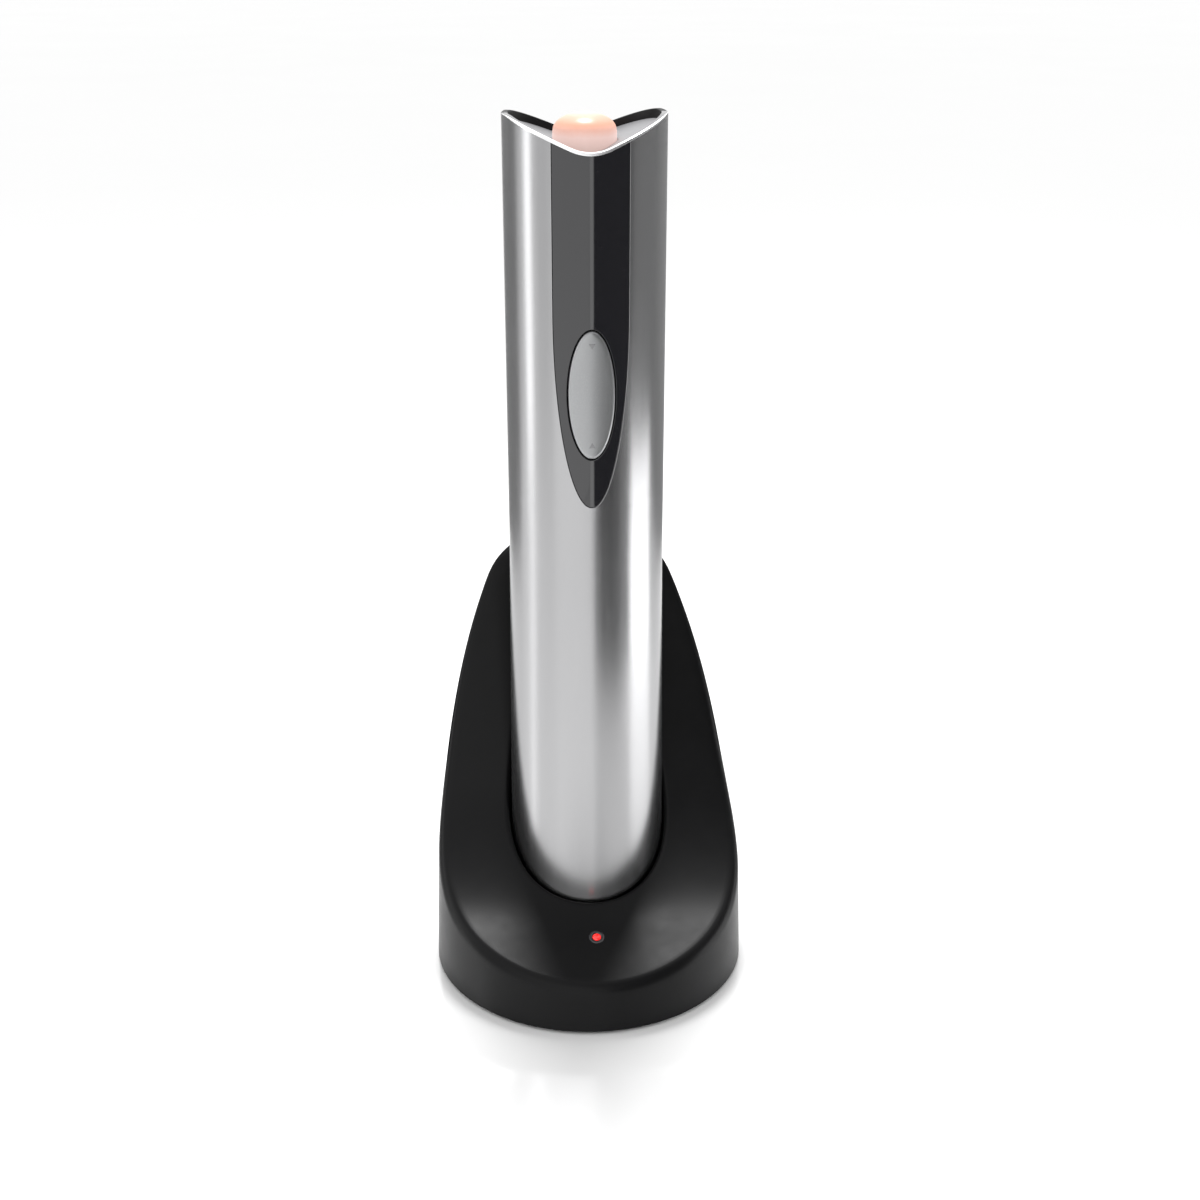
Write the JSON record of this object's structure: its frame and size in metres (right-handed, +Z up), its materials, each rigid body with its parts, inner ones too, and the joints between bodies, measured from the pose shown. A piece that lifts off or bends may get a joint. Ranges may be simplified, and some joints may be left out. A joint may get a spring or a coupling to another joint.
{
  "type": "electric wine opener",
  "caption": "Upright cordless wine opener with a brushed metal tube, gloss insert, rocker button and glowing dome, standing in a black charging base.",
  "frame": {"origin": "middle of the footprint's bounding box, on the surface the base stands on", "axes": "+Z up along the opener, -Y towards the front with the button, +X to the right seen from the front"},
  "size_m": [0.108, 0.112, 0.292],
  "materials": {
    "brushed_tube": "brushed lengthways",
    "black_moulding": "satin moulded",
    "black_gloss": "polished",
    "silver_button": "satin silver",
    "silver_cap": "satin silver paint",
    "steel": "bright zinc",
    "lens_frost": "frosted translucent",
    "lamp": "emissive",
    "board_green": "solder mask",
    "switch_black": "moulded",
    "cell_sleeve": "shrink sleeve",
    "contact_brass": "plated",
    "tray_plastic": "moulded",
    "motor_steel": "drawn and plated",
    "magnet": "sintered",
    "armature_iron": "laminated",
    "gear_nylon": "natural moulded",
    "gearbox_grey": "glass-filled moulded",
    "bronze": "sintered",
    "spiral_steel": "dark non-stick",
    "clear_guide": "moulded",
    "spring_steel": "bright wire",
    "lead_red": "insulated",
    "lead_black": "insulated",
    "foot_rubber": "moulded",
    "led_red": "emissive"
  },
  "bodies": {
    "base": {"base_shell": "black_moulding", "base_cover": "tray_plastic", "base_feet": "foot_rubber", "base_screws": "steel", "charge_board": "board_green", "charge_led": "led_red", "led_bezel": "black_gloss", "power_jack": "switch_black", "base_leads": "lead_red", "contact_spring_left": "spring_steel", "contact_spring_right": "spring_steel"},
    "contact_left": {"contact_pin_left": "contact_brass"},
    "contact_right": {"contact_pin_right": "contact_brass"},
    "opener": {"front_shell": "brushed_tube", "rear_shell": "black_moulding", "housing_screws": "steel", "front_insert": "black_gloss", "rocker_pin": "steel", "main_board": "board_green", "board_screws": "steel", "button_switches": "switch_black", "top_cap": "silver_cap", "lens": "lens_frost", "lens_board": "board_green", "lens_lamp": "lamp", "battery_cells": "cell_sleeve", "battery_contacts": "contact_brass", "battery_tray": "tray_plastic", "motor_can": "motor_steel", "motor_magnets": "magnet", "motor_end_cap": "switch_black", "motor_screws": "steel", "gearbox_housing": "gearbox_grey", "gearbox_cover": "gearbox_grey", "output_bush": "bronze", "gearbox_screws": "steel", "cork_sleeve": "clear_guide", "lower_sleeve": "clear_guide", "guide_spring": "spring_steel", "bottom_collar": "black_moulding", "collar_screws": "steel", "charge_pads": "contact_brass", "charge_leads": "lead_red", "board_leads": "lead_black"},
    "rocker": {"rocker_button": "silver_button"},
    "guide": {"neck_guide": "clear_guide"},
    "rotor": {"motor_shaft": "steel", "motor_armature": "armature_iron", "motor_pinion": "contact_brass"},
    "stage_one": {"first_carrier": "gear_nylon", "second_sun": "gear_nylon"},
    "output": {"second_carrier": "steel", "spiral_hub": "steel", "spiral": "spiral_steel"},
    "stage_one_planet_1": {"first_planet_1": "gear_nylon"},
    "stage_two_planet_1": {"second_planet_1": "gear_nylon"},
    "stage_one_planet_2": {"first_planet_2": "gear_nylon"},
    "stage_two_planet_2": {"second_planet_2": "gear_nylon"},
    "stage_one_planet_3": {"first_planet_3": "gear_nylon"},
    "stage_two_planet_3": {"second_planet_3": "gear_nylon"}
  },
  "joints": [
    {"name": "opener_lift", "type": "slide", "parent": "base", "child": "opener", "axis": [0, 0, 1], "range_m": [0, 0.15]},
    {"name": "rocker_tilt", "type": "hinge", "parent": "opener", "child": "rocker", "pos_m": [0, -0.014, 0.2099], "axis": [1, 0, 0], "range_deg": [-3, 3], "stiffness_Nm_per_rad": 0.1},
    {"name": "guide_slide", "type": "slide", "parent": "opener", "child": "guide", "axis": [0, 0, 1], "range_m": [0, 0.03], "stiffness_N_per_m": 120, "springref_m": -0.02, "deforming": ["guide_spring"]},
    {"name": "motor_spin", "type": "hinge", "parent": "opener", "child": "rotor", "pos_m": [0, 0.0055, 0.17], "axis": [0, 0, 1], "continuous": true},
    {"name": "stage_one_turn", "type": "hinge", "parent": "opener", "child": "stage_one", "pos_m": [0, 0.0055, 0.146], "axis": [0, 0, 1], "continuous": true},
    {"name": "spiral_turn", "type": "hinge", "parent": "opener", "child": "output", "pos_m": [0, 0.0055, 0.136], "axis": [0, 0, 1], "continuous": true},
    {"name": "stage_one_planet_1_spin", "type": "hinge", "parent": "stage_one", "child": "stage_one_planet_1", "pos_m": [0.009, 0.0055, 0.15], "axis": [0, 0, 1], "continuous": true},
    {"name": "stage_two_planet_1_spin", "type": "hinge", "parent": "output", "child": "stage_two_planet_1", "pos_m": [0.009, 0.0055, 0.141], "axis": [0, 0, 1], "continuous": true},
    {"name": "stage_one_planet_2_spin", "type": "hinge", "parent": "stage_one", "child": "stage_one_planet_2", "pos_m": [-0.0045, 0.01329, 0.15], "axis": [0, 0, 1], "continuous": true},
    {"name": "stage_two_planet_2_spin", "type": "hinge", "parent": "output", "child": "stage_two_planet_2", "pos_m": [-0.0045, 0.01329, 0.141], "axis": [0, 0, 1], "continuous": true},
    {"name": "stage_one_planet_3_spin", "type": "hinge", "parent": "stage_one", "child": "stage_one_planet_3", "pos_m": [-0.0045, -0.00229, 0.15], "axis": [0, 0, 1], "continuous": true},
    {"name": "stage_two_planet_3_spin", "type": "hinge", "parent": "output", "child": "stage_two_planet_3", "pos_m": [-0.0045, -0.00229, 0.141], "axis": [0, 0, 1], "continuous": true},
    {"name": "contact_left_press", "type": "slide", "parent": "base", "child": "contact_left", "axis": [0, 0, 1], "range_m": [-0.0012, 0], "stiffness_N_per_m": 300, "springref_m": 0.001, "deforming": ["contact_spring_left"]},
    {"name": "contact_right_press", "type": "slide", "parent": "base", "child": "contact_right", "axis": [0, 0, 1], "range_m": [-0.0012, 0], "stiffness_N_per_m": 300, "springref_m": 0.001, "deforming": ["contact_spring_right"]}
  ],
  "couplings": [
    {"joint": "stage_one_turn", "follows": "motor_spin", "ratio": 0.2},
    {"joint": "spiral_turn", "follows": "motor_spin", "ratio": 0.04},
    {"joint": "stage_one_planet_1_spin", "follows": "motor_spin", "ratio": -0.53333},
    {"joint": "stage_two_planet_1_spin", "follows": "motor_spin", "ratio": -0.10667},
    {"joint": "stage_one_planet_2_spin", "follows": "motor_spin", "ratio": -0.53333},
    {"joint": "stage_two_planet_2_spin", "follows": "motor_spin", "ratio": -0.10667},
    {"joint": "stage_one_planet_3_spin", "follows": "motor_spin", "ratio": -0.53333},
    {"joint": "stage_two_planet_3_spin", "follows": "motor_spin", "ratio": -0.10667}
  ]
}
